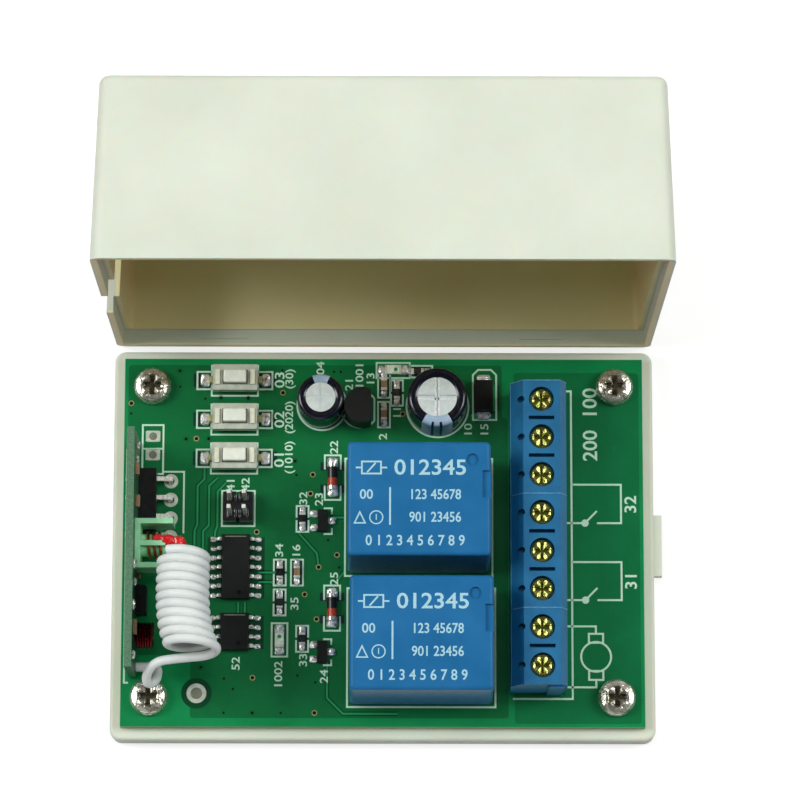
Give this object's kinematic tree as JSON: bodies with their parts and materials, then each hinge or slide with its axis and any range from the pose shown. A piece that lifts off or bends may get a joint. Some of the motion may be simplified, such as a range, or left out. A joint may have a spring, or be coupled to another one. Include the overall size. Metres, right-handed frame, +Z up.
{
  "type": "radio relay receiver",
  "caption": "Open radio relay receiver: a board with relays, push buttons and screw terminals in a base tray, with a coiled wire aerial and a deep plastic cover.",
  "frame": {"origin": "middle of the base tray's underside", "axes": "+X along the case to the screw terminals, +Y towards the cover stood behind the base, +Z up"},
  "size_m": [0.0741, 0.0785, 0.053],
  "materials": {
    "case_plastic": "fine grained moulding",
    "board_green": "green solder mask on glass laminate",
    "radio_board_green": "green solder mask, bare cut edges",
    "screw_steel": "nickel plate",
    "terminal_blue": "satin moulding",
    "terminal_zinc": "yellow zinc plate",
    "clamp_nickel": "nickel plate",
    "tinned_brass": "tin plate",
    "relay_blue": "satin moulding",
    "switch_plastic": "satin moulding",
    "button_plastic": "satin moulding",
    "switch_steel": "plain sheet",
    "tinned_steel": "tin plate",
    "can_aluminium": "drawn and stamped",
    "sleeve_blue": "shrunk film",
    "chip_black": "moulded epoxy",
    "header_black": "satin moulding",
    "resistor_black": "glazed, tinned ends",
    "ceramic_tan": "fired, tinned ends",
    "indicator_clear": "milky resin",
    "diode_glass": "tinted glass",
    "former_mint": "satin moulding",
    "core_red": "sealed with red wax",
    "winding_copper": "enamelled copper",
    "aerial_white": "smooth insulation"
  },
  "bodies": {
    "base": {"aerial": "aerial_white", "base_tray": "case_plastic", "board_screws": "screw_steel", "capacitor_cans": "can_aluminium", "capacitor_leads": "tinned_steel", "capacitor_sleeves": "sleeve_blue", "ceramic_capacitors": "ceramic_tan", "chip_leads": "tinned_steel", "chip_resistors": "resistor_black", "coil_former": "former_mint", "decoder_chip": "chip_black", "driver_leads": "tinned_steel", "driver_transistors": "chip_black", "former_winding": "winding_copper", "glass_diode_caps": "tinned_steel", "glass_diodes": "diode_glass", "indicators": "indicator_clear", "jumper_block": "header_black", "jumper_pins": "tinned_brass", "main_board": "board_green", "memory_chip": "chip_black", "power_diode": "chip_black", "power_diode_tabs": "tinned_steel", "radio_board": "radio_board_green", "radio_parts": "chip_black", "radio_pin_block": "header_black", "radio_pins": "tinned_brass", "relay_case_1": "relay_blue", "relay_case_2": "relay_blue", "relay_pins": "tinned_brass", "switch_bases": "switch_plastic", "switch_feet": "tinned_steel", "switch_plates": "switch_steel", "terminal_contacts": "tinned_brass", "terminal_housing_1": "terminal_blue", "terminal_housing_2": "terminal_blue", "terminal_housing_3": "terminal_blue", "transistor_body": "chip_black", "transistor_leads": "tinned_steel", "tuning_core": "core_red"},
    "cover": {"cover": "case_plastic"},
    "button_1": {"button_1": "button_plastic"},
    "button_2": {"button_2": "button_plastic"},
    "button_3": {"button_3": "button_plastic"},
    "terminal_screw_1": {"terminal_screw_1": "terminal_zinc"},
    "terminal_screw_2": {"terminal_screw_2": "terminal_zinc"},
    "terminal_screw_3": {"terminal_screw_3": "terminal_zinc"},
    "terminal_screw_4": {"terminal_screw_4": "terminal_zinc"},
    "terminal_screw_5": {"terminal_screw_5": "terminal_zinc"},
    "terminal_screw_6": {"terminal_screw_6": "terminal_zinc"},
    "terminal_screw_7": {"terminal_screw_7": "terminal_zinc"},
    "terminal_screw_8": {"terminal_screw_8": "terminal_zinc"},
    "wire_clamp_1": {"wire_clamp_1": "clamp_nickel"},
    "wire_clamp_2": {"wire_clamp_2": "clamp_nickel"},
    "wire_clamp_3": {"wire_clamp_3": "clamp_nickel"},
    "wire_clamp_4": {"wire_clamp_4": "clamp_nickel"},
    "wire_clamp_5": {"wire_clamp_5": "clamp_nickel"},
    "wire_clamp_6": {"wire_clamp_6": "clamp_nickel"},
    "wire_clamp_7": {"wire_clamp_7": "clamp_nickel"},
    "wire_clamp_8": {"wire_clamp_8": "clamp_nickel"}
  },
  "joints": [
    {"name": "cover_swing", "type": "hinge", "parent": "base", "child": "cover", "pos_m": [0, 0.02525, 0.00125], "axis": [1, 0, 0], "range_deg": [0, 90]},
    {"name": "button_1_press", "type": "slide", "parent": "base", "child": "button_1", "axis": [0, 0, -1], "range_m": [0, 0.00025], "stiffness_N_per_m": 4000},
    {"name": "button_2_press", "type": "slide", "parent": "base", "child": "button_2", "axis": [0, 0, -1], "range_m": [0, 0.00025], "stiffness_N_per_m": 4000},
    {"name": "button_3_press", "type": "slide", "parent": "base", "child": "button_3", "axis": [0, 0, -1], "range_m": [0, 0.00025], "stiffness_N_per_m": 4000},
    {"name": "terminal_screw_1_turn", "type": "hinge", "parent": "base", "child": "terminal_screw_1", "pos_m": [0.021, 0.01778, 0.014], "axis": [0, 0, 1], "range_deg": [-1440, 0]},
    {"name": "wire_clamp_1_lift", "type": "slide", "parent": "base", "child": "wire_clamp_1", "axis": [0, 0, 1], "range_m": [0, 0.0018]},
    {"name": "terminal_screw_2_turn", "type": "hinge", "parent": "base", "child": "terminal_screw_2", "pos_m": [0.021, 0.0127, 0.014], "axis": [0, 0, 1], "range_deg": [-1440, 0]},
    {"name": "wire_clamp_2_lift", "type": "slide", "parent": "base", "child": "wire_clamp_2", "axis": [0, 0, 1], "range_m": [0, 0.0018]},
    {"name": "terminal_screw_3_turn", "type": "hinge", "parent": "base", "child": "terminal_screw_3", "pos_m": [0.021, 0.00762, 0.014], "axis": [0, 0, 1], "range_deg": [-1440, 0]},
    {"name": "wire_clamp_3_lift", "type": "slide", "parent": "base", "child": "wire_clamp_3", "axis": [0, 0, 1], "range_m": [0, 0.0018]},
    {"name": "terminal_screw_4_turn", "type": "hinge", "parent": "base", "child": "terminal_screw_4", "pos_m": [0.021, 0.00254, 0.014], "axis": [0, 0, 1], "range_deg": [-1440, 0]},
    {"name": "wire_clamp_4_lift", "type": "slide", "parent": "base", "child": "wire_clamp_4", "axis": [0, 0, 1], "range_m": [0, 0.0018]},
    {"name": "terminal_screw_5_turn", "type": "hinge", "parent": "base", "child": "terminal_screw_5", "pos_m": [0.021, -0.00254, 0.014], "axis": [0, 0, 1], "range_deg": [-1440, 0]},
    {"name": "wire_clamp_5_lift", "type": "slide", "parent": "base", "child": "wire_clamp_5", "axis": [0, 0, 1], "range_m": [0, 0.0018]},
    {"name": "terminal_screw_6_turn", "type": "hinge", "parent": "base", "child": "terminal_screw_6", "pos_m": [0.021, -0.00762, 0.014], "axis": [0, 0, 1], "range_deg": [-1440, 0]},
    {"name": "wire_clamp_6_lift", "type": "slide", "parent": "base", "child": "wire_clamp_6", "axis": [0, 0, 1], "range_m": [0, 0.0018]},
    {"name": "terminal_screw_7_turn", "type": "hinge", "parent": "base", "child": "terminal_screw_7", "pos_m": [0.021, -0.0127, 0.014], "axis": [0, 0, 1], "range_deg": [-1440, 0]},
    {"name": "wire_clamp_7_lift", "type": "slide", "parent": "base", "child": "wire_clamp_7", "axis": [0, 0, 1], "range_m": [0, 0.0018]},
    {"name": "terminal_screw_8_turn", "type": "hinge", "parent": "base", "child": "terminal_screw_8", "pos_m": [0.021, -0.01778, 0.014], "axis": [0, 0, 1], "range_deg": [-1440, 0]},
    {"name": "wire_clamp_8_lift", "type": "slide", "parent": "base", "child": "wire_clamp_8", "axis": [0, 0, 1], "range_m": [0, 0.0018]}
  ],
  "couplings": [
    {"joint": "terminal_screw_1_turn", "follows": "wire_clamp_1_lift", "rad_per_m": -13963},
    {"joint": "terminal_screw_2_turn", "follows": "wire_clamp_2_lift", "rad_per_m": -13963},
    {"joint": "terminal_screw_3_turn", "follows": "wire_clamp_3_lift", "rad_per_m": -13963},
    {"joint": "terminal_screw_4_turn", "follows": "wire_clamp_4_lift", "rad_per_m": -13963},
    {"joint": "terminal_screw_5_turn", "follows": "wire_clamp_5_lift", "rad_per_m": -13963},
    {"joint": "terminal_screw_6_turn", "follows": "wire_clamp_6_lift", "rad_per_m": -13963},
    {"joint": "terminal_screw_7_turn", "follows": "wire_clamp_7_lift", "rad_per_m": -13963},
    {"joint": "terminal_screw_8_turn", "follows": "wire_clamp_8_lift", "rad_per_m": -13963}
  ]
}
